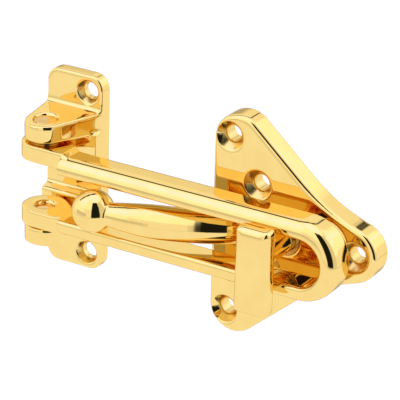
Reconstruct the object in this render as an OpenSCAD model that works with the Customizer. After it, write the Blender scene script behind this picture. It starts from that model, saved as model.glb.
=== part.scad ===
// Swing bar door guard with an auxiliary turn lock.
// Frame: X along the bar from the hinge to its free end, Y into the wall, Z up.
// The origin is on the back face of the jamb bracket, behind the hinge axis, at mid height.

/* [Jamb bracket] */
// Height of the bracket
bracket_h = 67; // [60:0.5:80]
// Width of the bracket
bracket_w = 21; // [19:0.5:26]
// Thickness of its base
bracket_t = 4.6; // [3.5:0.1:6]
// Depth of the base and the pads behind the knuckles
pad_t = 8; // [6:0.1:8.4]
// Radius of its outer corners
bracket_corner_r = 4.5; // [1:0.1:6]
// Half height of the recess between the pads
recess_half = 6; // [4:0.1:7]
// Distance between the two screw holes
bracket_hole_pitch = 55.6; // [50:0.1:58]
// Distance of the screw holes from the hinge axis
bracket_hole_x = 8; // [6:0.1:8.5]

/* [Hinge] */
// Distance from the wall to the hinge axis
pin_to_wall = 16.4; // [16:0.1:20]
// Radius of the lugs round the pins
lug_r = 6.6; // [5.5:0.1:7.4]
// Height of the lugs' inner faces above and below the middle
lug_inner = 14.6; // [14.5:0.1:15.2]
// Height of the lugs' outer faces at the pins
lug_outer = 21; // [20.4:0.1:22]
// Diameter of the hinge pins
pin_d = 5.5; // [4:0.1:6]
// Diameter of the pins' heads
pin_head_d = 7.5; // [6.6:0.1:9]

/* [Swing bar] */
// Distance from the hinge axis to the outside of the bar's round end
bar_reach = 109.9; // [104:0.1:120]
// Half of the bar's height
bar_half = 13.15; // [12.5:0.05:13.4]
// Half of the slot's height
slot_half = 7.7; // [7.4:0.05:8.2]
// Distance of the bar's back in front of the hinge axis
bar_back = 0.6; // [0:0.1:1.5]
// Depth of the bar, from its back to its front
bar_depth = 9.7; // [8:0.1:10]
// Radius of the bar's outer front edge
bar_edge_r = 4.1; // [1:0.1:4.1]
// Outer radius of the eyes round the pins
eye_r = 7.5; // [6:0.1:8]
// Height of the eyes' inner faces above and below the middle
eye_inner = 8.4; // [8:0.1:9.5]
// Height of the eyes' outer faces above and below the middle
eye_outer = 13.9; // [13.5:0.1:13.9]

/* [Door plate] */
// Distance of the plate's left edge from the hinge axis
plate_x = 59.5; // [57:0.5:62]
// Height of the plate
plate_h = 72.4; // [68:0.2:80]
// Width of the plate
plate_w = 57; // [54:0.5:60]
// Thickness of the plate
plate_t = 8; // [7:0.1:9]
// Distance of the plate's front behind the hinge axis
plate_gap = 3.4; // [3:0.1:5]
// Radius of the two left lobes
lobe_r = 8.5; // [6:0.1:9]
// Radius of the right lobe
nose_r = 9; // [8:0.1:10]
// Angle of the straight flanks to the X axis
flank_angle = 41; // [38:0.5:43]
// Radius of the hollow curve that runs into the right lobe
hollow_r = 55; // [45:1:65]
// Diameter of the through holes for screws
screw_d = 5.2; // [4.5:0.1:5.6]

/* [Ball arm] */
// Diameter of the ball
ball_d = 13.6; // [12:0.1:14]
// Distance of the ball's centre from the hinge axis
ball_x = 26; // [24:0.1:28]
// Distance of the ball's centre in front of the hinge axis
ball_front = 11.6; // [9:0.1:12]

/* [Lock knob] */
// Distance of the knob's axis from the hinge axis
knob_x = 85.2; // [83:0.1:88]
// Width of the knob
knob_w = 12.2; // [8:0.1:13]
// Depth of the knob, front to back
knob_t = 6.6; // [5:0.1:9]
// Height of the knob above its axis
knob_up = 10.7; // [8:0.1:11.5]
// Length of the knob below its axis
knob_down = 17.7; // [15:0.1:19]
// Radius of the knob's edges at its two ends
knob_edge_r = 2.4; // [0.5:0.1:3]
// Radius of the knob's long edges
knob_side_r = 3.1; // [0.5:0.1:3.2]
// Diameter of the knob's stem
stem_d = 8; // [6:0.1:8.4]

/* [Hidden] */
$fn = 64;
// The running clearance on the radius between a shaft and its hole
run = 0.05;
// The gap kept between faces that turn against each other
gap = 0.1;
// The clearance on the radius of pieces that are pressed together
press = 0.01;
// How far a cutter runs past the face that it cuts
past = 1;

// Faces, measured along Y from the wall
pin_y = -pin_to_wall;
bar_back_y = pin_y - bar_back;
bar_front_y = bar_back_y - bar_depth;
plate_front_y = pin_y + plate_gap;
plate_back_y = plate_front_y + plate_t;
knob_gap = 0.7;
knob_back_y = bar_front_y - knob_gap;
knob_front_y = knob_back_y - knob_t;

// Bracket
bracket_left = -7.5;
bracket_right = bracket_left + bracket_w;
bracket_sink_d = 8.2;
bracket_sink_depth = 2.2;
recess_slope = 1.2;
lug_draft = 0.08;
lug_fillet = 1.5;

// Hinge
pin_head_t = 1.4;
pin_head_sink = 0.5;
pin_head_chamfer = 0.3;
head_hole_chamfer = 0.4;
pin_sink = 1.2;
washer_d = 9.6;
eye_chamfer = 0.8;

// Swing bar
bar_inner_edge_r = 1;
bar_edge_steps = 16;
bar_inner_edge_steps = 6;
end_x = bar_reach - bar_half;
strap_end = 13.3;
strap_slope = 2.2;
flare_start = 7.5;
flare_end = 11;
eye_back = [5, 5.6];

// Door plate
lobe = [plate_x + lobe_r, plate_h / 2 - lobe_r];
nose = [plate_x + plate_w - nose_r, 0];
lobe_steps = 24;
hollow_steps = 12;
nose_steps = 16;
plate_sink_d = 9.7;
plate_sink_depth = 2.6;
corner_hole = [plate_x + 5.5, 29];
inner_hole = [plate_x + 15.8, 15.3];
nose_hole = [plate_x + 49.5, 0];

// Arm
arm_p1 = [42, 10.6];
arm_p2 = [57, 5.8];
arm_p3 = [69, -plate_gap];
arm_neck_r = 2.8;
arm_grow_r = 2.6;
arm_full_at = 0.5;
arm_step = 0.001;
arm_sides = 36;
horn_steps = 18;
horn_start = 0.14;
ball_steps = 16;
pole_angle = 6;
neck_blend = 8;
spigot_x = 69;
spigot_r = 4;
spigot_l = 4.6;
spigot_root = 2;
arm_screw_r = 2;
arm_screw_l = 7;
arm_screw_head_r = 4;
arm_screw_head_t = 2;

// Lock internals, stacked along Y from the pocket's floor to the plate's back
pocket_r = 7;
pocket_depth = 3.2;
pocket_y = plate_back_y - pocket_depth;
bush_r = 5.2;
wave_t = 0.7;
wave_y = pocket_y + wave_t;
stop_t = 1;
stop_y = wave_y + gap + stop_t;
stop_r = 6.3;
stop_tab_r = 8;
stop_tab_w = 2.4;
stop_play = 12;
tab_room = 0.3;
drive_r = 3;
drive_flat = 2.2;
spindle_screw_r = 1.5;
spindle_screw_l = 6;
spindle_screw_head_r = 2.9;
spindle_screw_head_t = 1;

// Points on an arc round c, from angle a0 to angle a1
function arc(c, r, a0, a1, n) = [
    for (i = [0 : n])
        let (a = a0 + (a1 - a0) * i / n)
        c + r * [cos(a), sin(a)]
];

// A cylinder along +Y that starts at y
module rod_y(x, y, z, r, l) {
    translate([x, y, z])
        rotate([-90, 0, 0])
            cylinder(r = r, h = l);
}

// A cone along +Y that goes from radius r1 at y to r2 at y + l
module cone_y(x, y, z, r1, r2, l) {
    translate([x, y, z])
        rotate([-90, 0, 0])
            cylinder(r1 = r1, r2 = r2, h = l);
}

// A flat shape drawn as X and Z, given a thickness t from y towards the wall
module slab(y, t) {
    translate([0, y + t, 0])
        rotate([90, 0, 0])
            linear_extrude(t)
                children();
}

// A rectangle with round corners, from its lower left corner
module round_rect(w, h, r) {
    union() {
        translate([r, 0])
            square([w - 2 * r, h]);
        translate([0, r])
            square([w, h - 2 * r]);
        for (x = [r, w - r], y = [r, h - r])
            translate([x, y])
                circle(r);
    }
}

// A countersunk screw hole through a plate, sunk from the front
module screw_hole(p, front_y, back_y, sink_d, sink_depth) {
    rod_y(p[0], front_y - past, p[1], screw_d / 2, back_y - front_y + 2 * past);
    cone_y(p[0], front_y, p[1], sink_d / 2, screw_d / 2, sink_depth);
    rod_y(p[0], front_y - past, p[1], sink_d / 2, past);
}

// Copies for the upper and the lower half
module both_halves() {
    children();
    mirror([0, 0, 1])
        children();
}

// ---- Jamb bracket ----

// Where the line from outside point p touches the circle r round c, on the right-hand side
function touch(p, c, r) =
    let (d = p - c, a = atan2(d[1], d[0]) - acos(r / norm(d)))
    c + r * [cos(a), sin(a)];

module lug_plan() {
    root = [bracket_right, -bracket_t];
    t = touch(root, [0, pin_y], lug_r);
    union() {
        translate([0, pin_y])
            circle(lug_r);
        polygon([
            [-lug_r, pin_y], t, root, [bracket_right, -past], [bracket_left, -past],
            [bracket_left, -bracket_t]
        ]);
    }
}

// The side view of a lug, whose outer face slopes out towards the wall and ends in a fillet
module lug_side() {
    tip_y = pin_y - lug_r - past;
    end_z = bracket_h / 2;
    intersection() {
        offset(r = -lug_fillet)
            offset(delta = lug_fillet)
                union() {
                    polygon([
                        [lug_inner, 0], [lug_inner, tip_y],
                        [lug_outer - lug_draft * (lug_r + past), tip_y],
                        [lug_outer + lug_draft * pin_to_wall, 0]
                    ]);
                    translate([lug_inner, -bracket_t])
                        square([end_z - lug_inner, bracket_t]);
                }
        translate([lug_inner, tip_y])
            square([end_z - lug_inner - bracket_corner_r, -past - tip_y]);
    }
}

module lug() {
    intersection() {
        linear_extrude(bracket_h / 2)
            lug_plan();
        rotate([90, 0, 90])
            translate([0, 0, bracket_left - past])
                linear_extrude(bracket_w + 2 * past)
                    mirror([1, -1])
                        lug_side();
    }
}

module pad() {
    rotate([90, 0, 90])
        translate([0, 0, bracket_left])
            linear_extrude(bracket_w)
                polygon([
                    [-past, recess_half], [-bracket_t, recess_half],
                    [-pad_t, recess_half + recess_slope],
                    [-pad_t, lug_inner + past], [-past, lug_inner + past]
                ]);
}

module jamb_bracket() {
    color("gold")
        difference() {
            union() {
                slab(-bracket_t, bracket_t)
                    translate([bracket_left, -bracket_h / 2])
                        round_rect(bracket_w, bracket_h, bracket_corner_r);
                both_halves() {
                    lug();
                    pad();
                }
            }
            for (side = [-1, 1])
                screw_hole([bracket_hole_x, side * bracket_hole_pitch / 2],
                           -bracket_t, 0, bracket_sink_d, bracket_sink_depth);
            both_halves() {
                translate([0, pin_y, lug_inner - past])
                    cylinder(r = pin_d / 2 + press, h = bracket_h);
                translate([0, pin_y, lug_outer - pin_head_sink - pin_head_t])
                    cylinder(r = pin_head_d / 2 + press, h = bracket_h);
                translate([0, pin_y, lug_outer - head_hole_chamfer])
                    cylinder(r1 = pin_head_d / 2, r2 = pin_head_d / 2 + head_hole_chamfer + past,
                             h = head_hole_chamfer + past);
            }
        }
}

// ---- Hinge ----

module hinge_pin() {
    head_z = lug_outer - pin_head_sink - pin_head_t;
    tip_z = eye_inner + pin_sink;
    translate([0, pin_y, 0]) {
        translate([0, 0, tip_z])
            cylinder(r = pin_d / 2, h = head_z - tip_z + pin_head_t / 2);
        translate([0, 0, head_z])
            cylinder(d = pin_head_d, h = pin_head_t - pin_head_chamfer);
        translate([0, 0, head_z + pin_head_t - pin_head_chamfer])
            cylinder(r1 = pin_head_d / 2, r2 = pin_head_d / 2 - pin_head_chamfer,
                     h = pin_head_chamfer);
    }
}

module upper_hinge_pin() {
    color("goldenrod")
        hinge_pin();
}

module lower_hinge_pin() {
    color("goldenrod")
        mirror([0, 0, 1])
            hinge_pin();
}

module thrust_washer() {
    translate([0, pin_y, eye_outer + gap])
        difference() {
            cylinder(d = washer_d, h = lug_inner - eye_outer - 2 * gap);
            translate([0, 0, -past])
                cylinder(r = pin_d / 2 + run, h = lug_inner - eye_outer + past);
        }
}

module upper_thrust_washer() {
    color("goldenrod")
        thrust_washer();
}

module lower_thrust_washer() {
    color("goldenrod")
        mirror([0, 0, 1])
            thrust_washer();
}

// ---- Swing bar ----

// The bar's section: x is the distance from the middle of the slot, y the distance from its back
module bar_section() {
    inner = slot_half + bar_inner_edge_r;
    outer = bar_half - bar_edge_r;
    polygon(concat(
        [[slot_half, 0], [bar_half, 0]],
        arc([outer, bar_depth - bar_edge_r], bar_edge_r, 0, 90, bar_edge_steps),
        arc([inner, bar_depth - bar_inner_edge_r], bar_inner_edge_r, 90, 180,
            bar_inner_edge_steps)
    ));
}

module bar_leg() {
    translate([flare_end, bar_back_y, 0])
        rotate([90, 0, 90])
            linear_extrude(end_x - flare_end)
                mirror([1, -1])
                    mirror([0, 1])
                        bar_section();
}

module bar_end() {
    translate([end_x, bar_back_y, 0])
        rotate([90, 0, 0])
            rotate([0, 0, -90])
                rotate_extrude(angle = 180)
                    bar_section();
}

// An eye with its strap, which steps down to the bar and flares to the slot
module eye() {
    intersection() {
        linear_extrude(eye_outer)
            union() {
                translate([0, pin_y])
                    circle(eye_r);
                polygon([
                    [0, pin_y - eye_r], [strap_end, pin_y - eye_r], [strap_end, bar_back_y],
                    [eye_back[0], pin_y + eye_back[1]], [0, pin_y]
                ]);
            }
        slab(pin_y - eye_r - past, 2 * eye_r + 2 * past)
            polygon([
                [-eye_r - past, eye_inner], [flare_start, eye_inner], [flare_end, slot_half],
                [strap_end, slot_half], [strap_end, bar_half],
                [strap_end - strap_slope, eye_outer], [-eye_r - past, eye_outer]
            ]);
    }
}

module swing_bar() {
    color("gold")
        difference() {
            union() {
                both_halves() {
                    bar_leg();
                    eye();
                }
                bar_end();
            }
            translate([0, pin_y, -eye_outer - past])
                cylinder(r = pin_d / 2 + run, h = 2 * (eye_outer + past));
            both_halves()
                translate([0, pin_y, eye_inner - past])
                    cylinder(r1 = pin_d / 2 + run + eye_chamfer + past,
                             r2 = pin_d / 2 + run, h = eye_chamfer + past);
        }
}

// ---- Door plate ----

// The outline's right-hand curve: a straight flank, then a hollow arc that meets the nose
flank_dir = [cos(flank_angle), -sin(flank_angle)];
flank_normal = [sin(flank_angle), cos(flank_angle)];
flank_start = lobe + lobe_r * flank_normal;
to_nose = flank_start + hollow_r * flank_normal - nose;
flank_l = -(to_nose * flank_dir)
    - sqrt(pow(to_nose * flank_dir, 2) - to_nose * to_nose + pow(hollow_r + nose_r, 2));
flank_end = flank_start + flank_l * flank_dir;
hollow_c = flank_end + hollow_r * flank_normal;

function flip(p) = [p[0], -p[1]];

// The upper half of the outline, from the left edge over the lobe to the tip of the nose
flank_up = 90 - flank_angle;
nose_up = atan2(hollow_c[1] - nose[1], hollow_c[0] - nose[0]);
upper_outline = concat(
    arc(lobe, lobe_r, 180, flank_up, lobe_steps),
    arc(hollow_c, hollow_r, flank_up + 180, nose_up + 180, hollow_steps),
    arc(nose, nose_r, nose_up * (1 - 1 / nose_steps), 0, nose_steps - 1)
);
lower_outline = [for (i = [len(upper_outline) - 2 : -1 : 0]) flip(upper_outline[i])];

module plate_outline() {
    polygon(concat(upper_outline, lower_outline));
}

module stop_pocket() {
    far = 2 * stop_tab_r;
    a = stop_play;
    intersection() {
        circle(stop_tab_r + tab_room);
        polygon([
            [0, 0], far * [-cos(a), -sin(a)], far * [-1, 1], far * [sin(a), cos(a)]
        ]);
    }
}

module door_plate() {
    color("gold")
        difference() {
            slab(plate_front_y, plate_t)
                plate_outline();
            for (p = [corner_hole, flip(corner_hole), inner_hole, flip(inner_hole), nose_hole])
                screw_hole(p, plate_front_y, plate_back_y, plate_sink_d, plate_sink_depth);
            rod_y(spigot_x, plate_front_y - past, 0, spigot_r + press, spigot_l + past);
            rod_y(spigot_x, plate_front_y, 0, arm_screw_r + run, plate_t + past);
            cone_y(spigot_x, plate_back_y - arm_screw_head_t, 0, arm_screw_r + run,
                   arm_screw_head_r + run, arm_screw_head_t);
            rod_y(knob_x, plate_front_y - past, 0, bush_r + press, plate_t + 2 * past);
            rod_y(knob_x, pocket_y, 0, pocket_r, pocket_depth + past);
            slab(pocket_y, pocket_depth + past)
                translate([knob_x, 0])
                    stop_pocket();
        }
}

// ---- Ball arm ----

// The horn's centreline: [X, distance in front of the hinge axis]
function arm_point(t) =
    pow(1 - t, 3) * [ball_x, ball_front] + 3 * t * pow(1 - t, 2) * arm_p1
        + 3 * t * t * (1 - t) * arm_p2 + pow(t, 3) * arm_p3;

function arm_dir(t) =
    let (d = arm_point(t + arm_step) - arm_point(t - arm_step))
    d / norm(d);

function arm_r(t) = arm_neck_r + arm_grow_r * sin(90 * min(1, t / arm_full_at));

// A ring of points of radius r round c, square to the direction d
function ring(c, d, r) = [
    for (i = [0 : arm_sides - 1])
        let (a = 360 * i / arm_sides)
        [c[0] - d[1] * r * cos(a), pin_y - c[1] - d[0] * r * cos(a), r * sin(a)]
];

// The ball's rings run from its far pole to where its surface meets the horn's neck
ball_dir = arm_dir(0);
neck_angle = 180 - asin(2 * arm_neck_r / ball_d) - neck_blend;
ball_rings = [
    for (i = [0 : ball_steps])
        let (a = pole_angle + (neck_angle - pole_angle) * i / ball_steps)
        ring([ball_x, ball_front] - ball_d / 2 * cos(a) * ball_dir, ball_dir, ball_d / 2 * sin(a))
];

// The horn's rings stop at the plate: what would pass the plate's face is laid flat on it
horn_rings = [
    for (i = [0 : horn_steps])
        let (t = horn_start + (1 - horn_start) * i / horn_steps)
        [for (p = ring(arm_point(t), arm_dir(t), arm_r(t))) [p[0], min(p[1], plate_front_y), p[2]]]
];

// The last ring follows the horn's direction down to the plate
foot_slope = arm_dir(1)[0] / -arm_dir(1)[1];
foot_ring = [
    for (p = ring(arm_point(1), arm_dir(1), arm_r(1)))
        [p[0] + max(0, plate_front_y - p[1]) * foot_slope, plate_front_y, p[2]]
];

module arm_horn() {
    rings = concat(ball_rings, horn_rings, [foot_ring]);
    n = arm_sides;
    last = len(rings) - 1;
    sides = [
        for (k = [0 : last - 1], i = [0 : n - 1])
            let (j = (i + 1) % n)
            each [
                [k * n + i, k * n + j, (k + 1) * n + j],
                [k * n + i, (k + 1) * n + j, (k + 1) * n + i]
            ]
    ];
    caps = [[for (i = [n - 1 : -1 : 0]) i], [for (i = [0 : n - 1]) last * n + i]];
    polyhedron([for (r = rings) each r], concat(sides, caps), convexity = 6);
}

module ball_arm() {
    color("gold")
        difference() {
            union() {
                arm_horn();
                rod_y(spigot_x, plate_front_y - spigot_root, 0, spigot_r, spigot_l + spigot_root);
            }
            rod_y(spigot_x, plate_back_y - arm_screw_l, 0, arm_screw_r + press, arm_screw_l);
        }
}

module arm_screw() {
    color("silver") {
        rod_y(spigot_x, plate_back_y - arm_screw_l, 0, arm_screw_r, arm_screw_l);
        cone_y(spigot_x, plate_back_y - arm_screw_head_t, 0, arm_screw_r, arm_screw_head_r,
               arm_screw_head_t);
    }
}

// ---- Turn lock ----

// The knob's bar, with all its edges round: its front view, its plan and its end view meet
module knob_bar() {
    h = knob_up + knob_down;
    intersection() {
        slab(knob_front_y - past, knob_t + 2 * past)
            translate([knob_x - knob_w / 2, -knob_down])
                round_rect(knob_w, h, knob_edge_r);
        translate([knob_x - knob_w / 2, knob_front_y, -knob_down - past])
            linear_extrude(h + 2 * past)
                round_rect(knob_w, knob_t, knob_side_r);
        translate([knob_x - knob_w / 2 - past, knob_front_y, -knob_down])
            rotate([90, 0, 90])
                linear_extrude(knob_w + 2 * past)
                    round_rect(knob_t, h, knob_edge_r);
    }
}

module lock_knob() {
    color("gold")
        difference() {
            union() {
                knob_bar();
                rod_y(knob_x, knob_back_y - past, 0, stem_d / 2, wave_y + gap - knob_back_y + past);
                intersection() {
                    rod_y(knob_x, wave_y, 0, drive_r, stop_t + gap);
                    translate([knob_x - drive_flat, wave_y, -drive_r])
                        cube([2 * drive_flat, stop_t + gap, 2 * drive_r]);
                }
            }
            rod_y(knob_x, stop_y - spindle_screw_l, 0, spindle_screw_r + press, spindle_screw_l + past);
        }
}

module spindle_bush() {
    color("goldenrod")
        difference() {
            rod_y(knob_x, plate_front_y, 0, bush_r, pocket_y - plate_front_y);
            rod_y(knob_x, plate_front_y - past, 0, stem_d / 2 + run, plate_t + past);
        }
}

module wave_washer() {
    color("silver")
        difference() {
            rod_y(knob_x, pocket_y, 0, stop_r, wave_t);
            rod_y(knob_x, pocket_y - past, 0, stem_d / 2 + run, wave_t + 2 * past);
        }
}

module stop_washer() {
    color("silver")
        difference() {
            slab(wave_y + gap, stop_t)
                translate([knob_x, 0])
                    union() {
                        circle(stop_r);
                        translate([-stop_tab_r, -stop_tab_w / 2])
                            square([stop_tab_r, stop_tab_w]);
                    }
            slab(wave_y + gap - past, stop_t + 2 * past)
                translate([knob_x, 0])
                    intersection() {
                        circle(drive_r + press);
                        square([2 * (drive_flat + press), 2 * (drive_r + past)], center = true);
                    }
        }
}

module spindle_screw() {
    color("silver") {
        rod_y(knob_x, stop_y - spindle_screw_l, 0, spindle_screw_r, spindle_screw_l);
        rod_y(knob_x, stop_y, 0, spindle_screw_head_r, spindle_screw_head_t);
    }
}

jamb_bracket();
swing_bar();
upper_hinge_pin();
lower_hinge_pin();
upper_thrust_washer();
lower_thrust_washer();
door_plate();
ball_arm();
arm_screw();
lock_knob();
spindle_bush();
wave_washer();
stop_washer();
spindle_screw();
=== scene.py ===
"""Looks of the swing bar door guard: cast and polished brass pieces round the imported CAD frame."""

import math

import bpy
from mathutils import Matrix, Vector
from mathutils.bvhtree import BVHTree


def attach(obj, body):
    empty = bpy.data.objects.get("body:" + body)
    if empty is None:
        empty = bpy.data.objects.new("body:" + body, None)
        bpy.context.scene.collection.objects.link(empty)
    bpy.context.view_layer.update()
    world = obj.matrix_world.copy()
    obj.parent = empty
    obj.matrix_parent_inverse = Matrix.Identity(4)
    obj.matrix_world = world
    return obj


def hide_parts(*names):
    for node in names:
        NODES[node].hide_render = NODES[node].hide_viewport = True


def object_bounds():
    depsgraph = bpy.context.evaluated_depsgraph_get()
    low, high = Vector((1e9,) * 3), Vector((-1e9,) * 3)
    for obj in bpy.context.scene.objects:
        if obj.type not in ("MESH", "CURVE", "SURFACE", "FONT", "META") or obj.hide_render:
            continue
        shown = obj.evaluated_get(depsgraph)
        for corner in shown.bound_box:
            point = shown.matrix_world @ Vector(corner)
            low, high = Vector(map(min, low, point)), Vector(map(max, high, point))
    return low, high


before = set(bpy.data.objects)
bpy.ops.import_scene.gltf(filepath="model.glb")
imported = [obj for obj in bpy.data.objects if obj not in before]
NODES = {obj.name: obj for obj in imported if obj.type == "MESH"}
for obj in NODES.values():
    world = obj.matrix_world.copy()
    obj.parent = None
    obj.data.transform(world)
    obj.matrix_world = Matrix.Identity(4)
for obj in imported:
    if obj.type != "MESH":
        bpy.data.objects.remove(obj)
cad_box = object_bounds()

MM = 0.001


# ---- Camera ----

CAMERA_AZIMUTH = 30.5
CAMERA_ELEVATION = 23.5
CAMERA_ROLL = 1.74
CAMERA_DISTANCE = 735 * MM
CAMERA_AIM = Vector((57.3, -16.4, 7.2)) * MM
FOCAL_FRAMES = 6.01
SENSOR = 36.0


def make_camera():
    data = bpy.data.cameras.new("camera")
    data.sensor_width = SENSOR
    data.lens = FOCAL_FRAMES * SENSOR
    data.clip_start, data.clip_end = 0.01, 20
    cam = bpy.data.objects.new("camera", data)
    bpy.context.scene.collection.objects.link(cam)
    a, e = math.radians(CAMERA_AZIMUTH), math.radians(CAMERA_ELEVATION)
    back = Vector((math.sin(a) * math.cos(e), -math.cos(a) * math.cos(e), math.sin(e)))
    turn = (-back).to_track_quat("-Z", "Y").to_matrix().to_4x4()
    roll = Matrix.Rotation(math.radians(CAMERA_ROLL), 4, "Z")
    cam.matrix_world = Matrix.Translation(CAMERA_AIM + back * CAMERA_DISTANCE) @ turn @ roll
    bpy.context.scene.camera = cam


# ---- Node helpers ----

class Graph:
    """A node tree with short calls for the maths that the materials and the studio share."""

    def __init__(self, tree):
        self.nodes, self.links = tree.nodes, tree.links
        self.nodes.clear()

    def node(self, kind, inputs=(), **settings):
        node = self.nodes.new(kind)
        for name, value in settings.items():
            setattr(node, name, value)
        for key, value in dict(inputs).items():
            if isinstance(value, bpy.types.NodeSocket):
                self.links.new(value, node.inputs[key])
            else:
                node.inputs[key].default_value = value
        return node

    def math(self, operation, *values):
        return self.node("ShaderNodeMath", enumerate(values), operation=operation).outputs[0]

    def dot(self, vector, direction):
        return self.node("ShaderNodeVectorMath", {0: vector, 1: direction},
                         operation="DOT_PRODUCT").outputs["Value"]

    def step(self, value, edge, soft):
        """0 below the edge and 1 above it, over a band of the given half width."""
        return self.node("ShaderNodeMapRange", {0: value, 1: edge - soft, 2: edge + soft},
                         interpolation_type="SMOOTHSTEP").outputs[0]

    def band(self, value, low, high, soft):
        return self.math("SUBTRACT", self.step(value, low, soft), self.step(value, high, soft))

    def mix(self, factor, a, b):
        """a where the factor is 0 and b where it is 1."""
        return self.node("ShaderNodeMix", {0: factor, 2: a, 3: b}, data_type="FLOAT").outputs[0]

    def ramp(self, factor, *stops):
        node = self.node("ShaderNodeValToRGB", {0: factor})
        elements = node.color_ramp.elements
        while len(elements) < len(stops):
            elements.new(0.5)
        for element, (place, colour) in zip(elements, stops):
            element.position, element.color = place, (*colour, 1)
        return node.outputs[0]


# ---- Materials ----

# How much of the clear lacquer over polished brass shows, and the tint of brass at its rims
LACQUER = 0.08
LACQUER_ROUGHNESS = 0.03
RIM_TINT = (1.0, 0.86, 0.6, 1)
# The sizes of the brass's patches of colour, polishing haze and ripple, and of turning marks
PATCH = 6 * MM
HAZE = 2 * MM
RIPPLE = 1.6 * MM
TOOL_MARK = 0.35 * MM
PAPER_GRAIN = 4 * MM
# The mesh attribute that marks machined countersinks, and how much rougher they are
SUNK = "sunk"
SINK_ROUGHNESS = 0.2


def new_material(name):
    mat = bpy.data.materials.new(name)
    mat.use_nodes = True
    graph = Graph(mat.node_tree)
    shader = graph.node("ShaderNodeBsdfPrincipled")
    graph.node("ShaderNodeOutputMaterial", {0: shader.outputs[0]})
    place = graph.node("ShaderNodeTexCoord").outputs["Object"]
    return mat, graph, shader, place


def noise(graph, place, size, detail=3.0):
    """Noise whose patches are about size across."""
    return graph.node("ShaderNodeTexNoise", {"Vector": place, "Scale": 1 / size,
                                             "Detail": detail}).outputs[0]


def bump(graph, shader, height, depth):
    node = graph.node("ShaderNodeBump", {"Height": height, "Distance": depth, "Strength": 1.0})
    graph.links.new(node.outputs[0], shader.inputs["Normal"])


def brass(name, pale, deep, roughness, ripple):
    """Polished brass plate: a slightly uneven colour, polishing haze, and a faint ripple."""
    mat, graph, shader, place = new_material(name)
    clouds = noise(graph, place, PATCH)
    colour = graph.ramp(clouds, (0.35, deep), (0.65, pale))
    haze = noise(graph, place, HAZE, 6.0)
    rough = graph.math("MULTIPLY_ADD", haze, roughness, roughness / 2)
    sunk = graph.node("ShaderNodeAttribute", attribute_name=SUNK).outputs["Fac"]
    rough = graph.math("MULTIPLY_ADD", sunk, SINK_ROUGHNESS, rough)
    wave = noise(graph, place, RIPPLE, 1.0)
    graph.links.new(colour, shader.inputs["Base Color"])
    graph.links.new(rough, shader.inputs["Roughness"])
    shader.inputs["Metallic"].default_value = 1.0
    shader.inputs["Specular Tint"].default_value = RIM_TINT
    shader.inputs["Coat Weight"].default_value = LACQUER
    shader.inputs["Coat Roughness"].default_value = LACQUER_ROUGHNESS
    bump(graph, shader, wave, ripple)
    return mat


def turned(name, colour, roughness, depth):
    """Plain turned or stamped metal with fine tool marks."""
    mat, graph, shader, place = new_material(name)
    marks = noise(graph, place, TOOL_MARK, 2.0)
    dark = tuple(0.75 * c for c in colour)
    graph.links.new(graph.ramp(marks, (0.3, dark), (0.7, colour)), shader.inputs["Base Color"])
    graph.links.new(graph.math("MULTIPLY_ADD", marks, roughness, roughness / 2),
                    shader.inputs["Roughness"])
    shader.inputs["Metallic"].default_value = 1.0
    bump(graph, shader, marks, depth)
    return mat


def paper(name):
    mat, graph, shader, place = new_material(name)
    grain = noise(graph, place, PAPER_GRAIN)
    graph.links.new(graph.ramp(grain, (0.3, (0.93, 0.93, 0.93)), (0.7, (0.96, 0.96, 0.96))),
                    shader.inputs["Base Color"])
    shader.inputs["Roughness"].default_value = 0.9
    return mat


# ---- Castings ----

def ease(value, low, high):
    """0 up to low, 1 from high on, and a smooth step between."""
    t = min(1.0, max(0.0, (value - low) / (high - low)))
    return t * t * (3 - 2 * t)


def apply_modifiers(piece):
    depsgraph = bpy.context.evaluated_depsgraph_get()
    shaped = bpy.data.meshes.new_from_object(piece.evaluated_get(depsgraph))
    piece.modifiers.clear()
    piece.data = shaped


def smooth_surface(piece, steps, weight=None):
    """Relax the surface; weight gives how much of it a point takes, from 0 to 1."""
    soften = piece.modifiers.new("soften", "SMOOTH")
    soften.factor = 0.5
    soften.iterations = steps
    if weight:
        group = piece.vertex_groups.new(name="soft")
        soften.vertex_group = group.name
        for vertex in piece.data.vertices:
            group.add([vertex.index], weight(vertex.co), "REPLACE")
    apply_modifiers(piece)
    piece.vertex_groups.clear()


def outer_wall(mesh, back, thickness):
    """The faces that run straight from the back plane to the front plane of a plate."""
    front = back - thickness
    near = 0.01 * MM
    walls = []
    for polygon in mesh.polygons:
        depths = [mesh.vertices[i].co.y for i in polygon.vertices]
        if abs(max(depths) - back) < near and abs(min(depths) - front) < near:
            walls.append(tuple(polygon.vertices))
    return BVHTree.FromPolygons([v.co for v in mesh.vertices], walls)


# Nearer to a wall than this share of the radius, the wall's normal says which way is in
WALL_SHARE = 0.3


def round_front_edge(mesh, walls, front, radius):
    """Pull the surface at a plate's front edge on to a round of the radius at that point."""
    for vertex in mesh.vertices:
        r = radius(vertex.co)
        depth = vertex.co.y - front
        if r <= 0 or depth >= r:
            continue
        spot, normal, _, inset = walls.find_nearest(vertex.co)
        if inset >= r:
            continue
        inward = vertex.co - spot if inset > WALL_SHARE * r else -normal
        inward.y = 0
        inward.normalize()
        reach = math.hypot(r - inset, r - depth)
        if reach > r:
            shift = 1 - r / reach
            vertex.co += inward * (r - inset) * shift
            vertex.co.y += (r - depth) * shift


# Faces whose normals are nearer to Y than this range count as flat, not as a countersink's slope
FLAT_FACE = (0.86, 0.96)


def mark_sinks(mesh, walls, margin, weight):
    """Mark the countersinks and bores: what slopes, farther inside the outer walls than margin."""
    mark = mesh.attributes.new(SUNK, "FLOAT", "POINT")
    for vertex in mesh.vertices:
        inset = walls.find_nearest(vertex.co)[3]
        slope = 1 - ease(abs(vertex.normal.y), *FLAT_FACE)
        mark.data[vertex.index].value = slope * weight(vertex.co) if inset > margin else 0.0


VOXEL = 0.25 * MM


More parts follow.
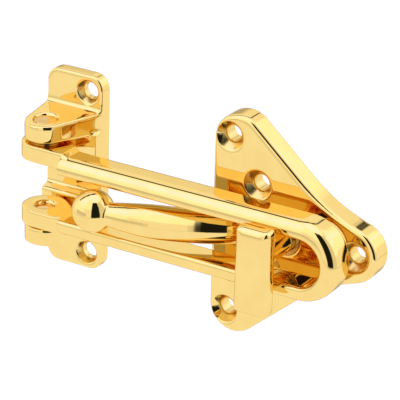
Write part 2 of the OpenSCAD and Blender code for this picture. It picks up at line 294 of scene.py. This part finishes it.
def casting(node, body, material, smooth=16, shape=None):
    """A copy of a CAD casting with its edges and corners softened as casting and polishing do."""
    source = NODES[node]
    piece = bpy.data.objects.new(node + "_cast", source.data.copy())
    bpy.context.scene.collection.objects.link(piece)
    remesh = piece.modifiers.new("voxels", "REMESH")
    remesh.mode = "VOXEL"
    remesh.voxel_size = VOXEL
    apply_modifiers(piece)
    smooth_surface(piece, smooth)
    if shape:
        shape(piece, source.data)
    shaped = piece.data
    shaped.materials.clear()
    shaped.materials.append(material)
    for polygon in shaped.polygons:
        polygon.use_smooth = True
    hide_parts(node)
    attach(piece, body)
    return piece


PLATE_THICKNESS = 8 * MM
PLATE_EDGE = 1.6 * MM
SINK_MARGIN = 2.2 * MM


def shape_plate(piece, cad):
    back = max(v.co.y for v in cad.vertices)
    walls = outer_wall(cad, back, PLATE_THICKNESS)
    round_front_edge(piece.data, walls, back - PLATE_THICKNESS, lambda co: PLATE_EDGE)
    smooth_surface(piece, 4)
    mark_sinks(piece.data, walls, SINK_MARGIN, lambda co: 1.0)


BRACKET_THICKNESS = 4.6 * MM
BRACKET_EDGE = 1.0 * MM
LUG_TOP = 21 * MM
PIN_RING = 4.8 * MM


def shape_bracket(piece, cad):
    pin = NODES["upper_hinge_pin"].data.vertices
    hinge_y = sum(v.co.y for v in pin) / len(pin)

    def past_lug(co):
        return ease(abs(co.z), LUG_TOP + 1.5 * MM, LUG_TOP + 3.5 * MM)

    def lug_rim(co):
        off_pin = math.hypot(co.x, co.y - hinge_y)
        return ease(off_pin, PIN_RING, PIN_RING + 1 * MM) * ease(-co.y, 4 * MM, 6 * MM)

    walls = outer_wall(cad, 0, BRACKET_THICKNESS)
    round_front_edge(piece.data, walls, -BRACKET_THICKNESS,
                     lambda co: BRACKET_EDGE * past_lug(co))
    smooth_surface(piece, 30, lug_rim)
    smooth_surface(piece, 4)
    mark_sinks(piece.data, walls, SINK_MARGIN, past_lug)


# ---- Studio ----

# The light tent, as brightness by direction: azimuth 0 is in front of the guard and 90 is past
# the bar's free end, elevation 0 is level. Each panel is (azimuths, elevations, brightness).
WALL_LIGHT = 1.11
TABLE_TOP = -18
TABLE_LIGHT = 1.11
TABLE_SOFT = 1
TABLE_EDGE_LIGHT = 0.8
TABLE_EDGE_HALF = 0.8
PANELS = (
    ((-92, -20), (-2, 34), 1.35),
    ((-62, -4), (-13, 4), 0.8),
    ((-30, 24), (24, 60), 1.4),
    ((66, 100), (-18, 66), 0.9),
    ((98, 166), (6, 52), 1.4),
    ((112, 158), (24, 50), 2.1),
    ((-400, 400), (60, 100), 1.5),
    ((-400, 400), (68, 100), 2.1),
    ((-84, -26), (26, 66), 1.9),
    ((-68, -38), (38, 58), 2.3),
    ((22, 67), (-18, 64), 0.015),
)
PANEL_SOFT = 3.0
# Straight behind the guard the tent falls off: the axis, radius and light of that disc
BACK_AXIS = Vector((-0.5, 0.83, -0.25)).normalized()
BACK_RADIUS = 34
BACK_SOFT = 8
BACK_LIGHT = 0.55
# A dark ring at the back left of the tent: its axis, its radius and its half width in degrees
RING_AXIS = Vector((-0.731, 0.64, 0.237))
RING_RADIUS = 47
RING_HALF = 4.4
RING_LIGHT = 0.07
RING_SOFT = 1.5
# The ring shows only above this elevation and left of this distance along -X, each with its soft
# half width
RING_ABOVE = (28, 4)
RING_LEFT_OF = (0.06, 0.02)
# What the camera sees straight behind the floor
BACKDROP_LIGHT = 1.05
# Softboxes brighter than this only get bluer, so that highlights on brass turn pale, not lemon
WARM_LIMIT = 1.42


def make_world():
    world = bpy.data.worlds.new("studio")
    world.use_nodes = True
    graph = Graph(world.node_tree)
    ray = graph.node("ShaderNodeTexCoord").outputs["Generated"]
    split = graph.node("ShaderNodeSeparateXYZ", {0: ray}).outputs
    degree = math.degrees(1)
    azimuth = graph.math("MULTIPLY", graph.math("ARCTAN2", split[0],
                                                graph.math("MULTIPLY", split[1], -1.0)), degree)
    elevation = graph.math("MULTIPLY", graph.math("ARCSINE", split[2]), degree)
    light = graph.mix(graph.step(elevation, TABLE_TOP, TABLE_SOFT), TABLE_LIGHT, WALL_LIGHT)
    for azimuths, elevations, value in PANELS:
        mask = graph.math("MULTIPLY", graph.band(azimuth, *azimuths, PANEL_SOFT),
                          graph.band(elevation, *elevations, PANEL_SOFT))
        light = graph.mix(mask, light, value)

    def off(axis):
        return graph.math("MULTIPLY", graph.math("ARCCOSINE", graph.dot(ray, axis)), degree)

    light = graph.mix(graph.step(off(BACK_AXIS), BACK_RADIUS, BACK_SOFT), BACK_LIGHT, light)
    off_axis = off(RING_AXIS)
    ring = graph.band(off_axis, RING_RADIUS - RING_HALF, RING_RADIUS + RING_HALF, RING_SOFT)
    ring = graph.math("MULTIPLY", ring, graph.step(elevation, *RING_ABOVE))
    leftward = graph.math("MULTIPLY", split[0], -1.0)
    ring = graph.math("MULTIPLY", ring, graph.step(leftward, *RING_LEFT_OF))
    light = graph.mix(ring, light, RING_LIGHT)
    edge = graph.band(elevation, TABLE_TOP - TABLE_EDGE_HALF, TABLE_TOP + TABLE_EDGE_HALF,
                      TABLE_EDGE_HALF)
    light = graph.mix(edge, light, TABLE_EDGE_LIGHT)
    seen = graph.node("ShaderNodeLightPath").outputs["Is Camera Ray"]
    light = graph.mix(seen, light, BACKDROP_LIGHT)
    warm = graph.math("MINIMUM", light, WARM_LIMIT)
    colour = graph.node("ShaderNodeCombineColor", {0: warm, 1: warm, 2: light}).outputs[0]
    back = graph.node("ShaderNodeBackground", {0: colour, 1: 1.0})
    graph.node("ShaderNodeOutputWorld", {0: back.outputs[0]})
    bpy.context.scene.world = world


FLOOR_DROP = 120 * MM
FLOOR_HALF = 4.0


def make_floor():
    low = cad_box[0].z - FLOOR_DROP
    mesh = bpy.data.meshes.new("floor")
    s = FLOOR_HALF
    mesh.from_pydata([(-s, -s, low), (s, -s, low), (s, s, low), (-s, s, low)], [], [(0, 1, 2, 3)])
    floor = bpy.data.objects.new("floor", mesh)
    bpy.context.scene.collection.objects.link(floor)
    mesh.materials.append(paper("floor_paper"))
    floor.visible_glossy = False


bpy.context.scene.view_settings.view_transform = "Standard"
bpy.context.scene.cycles.glossy_bounces = 12
bpy.context.scene.cycles.max_bounces = 16
make_camera()
make_world()
make_floor()

cast_brass = brass("polished_brass", (0.87, 0.645, 0.24), (0.85, 0.615, 0.215), 0.05, 0.002 * MM)
pin_brass = brass("pin_brass", (0.86, 0.6, 0.26), (0.78, 0.5, 0.2), 0.14, 0.004 * MM)
turned_brass = turned("turned_brass", (0.8, 0.56, 0.24), 0.3, 0.01 * MM)
steel = turned("zinc_steel", (0.72, 0.71, 0.68), 0.3, 0.01 * MM)

for material, nodes in (
    (pin_brass, ("upper_hinge_pin", "lower_hinge_pin")),
    (turned_brass, ("upper_thrust_washer", "lower_thrust_washer", "spindle_bush")),
    (steel, ("arm_screw", "wave_washer", "stop_washer", "spindle_screw")),
):
    for node in nodes:
        NODES[node].data.materials.clear()
        NODES[node].data.materials.append(material)

casting("jamb_bracket", "frame", cast_brass, shape=shape_bracket)
casting("door_plate", "frame", cast_brass, shape=shape_plate)
casting("ball_arm", "frame", cast_brass)
casting("swing_bar", "bar", cast_brass)
casting("lock_knob", "knob", cast_brass, smooth=50)
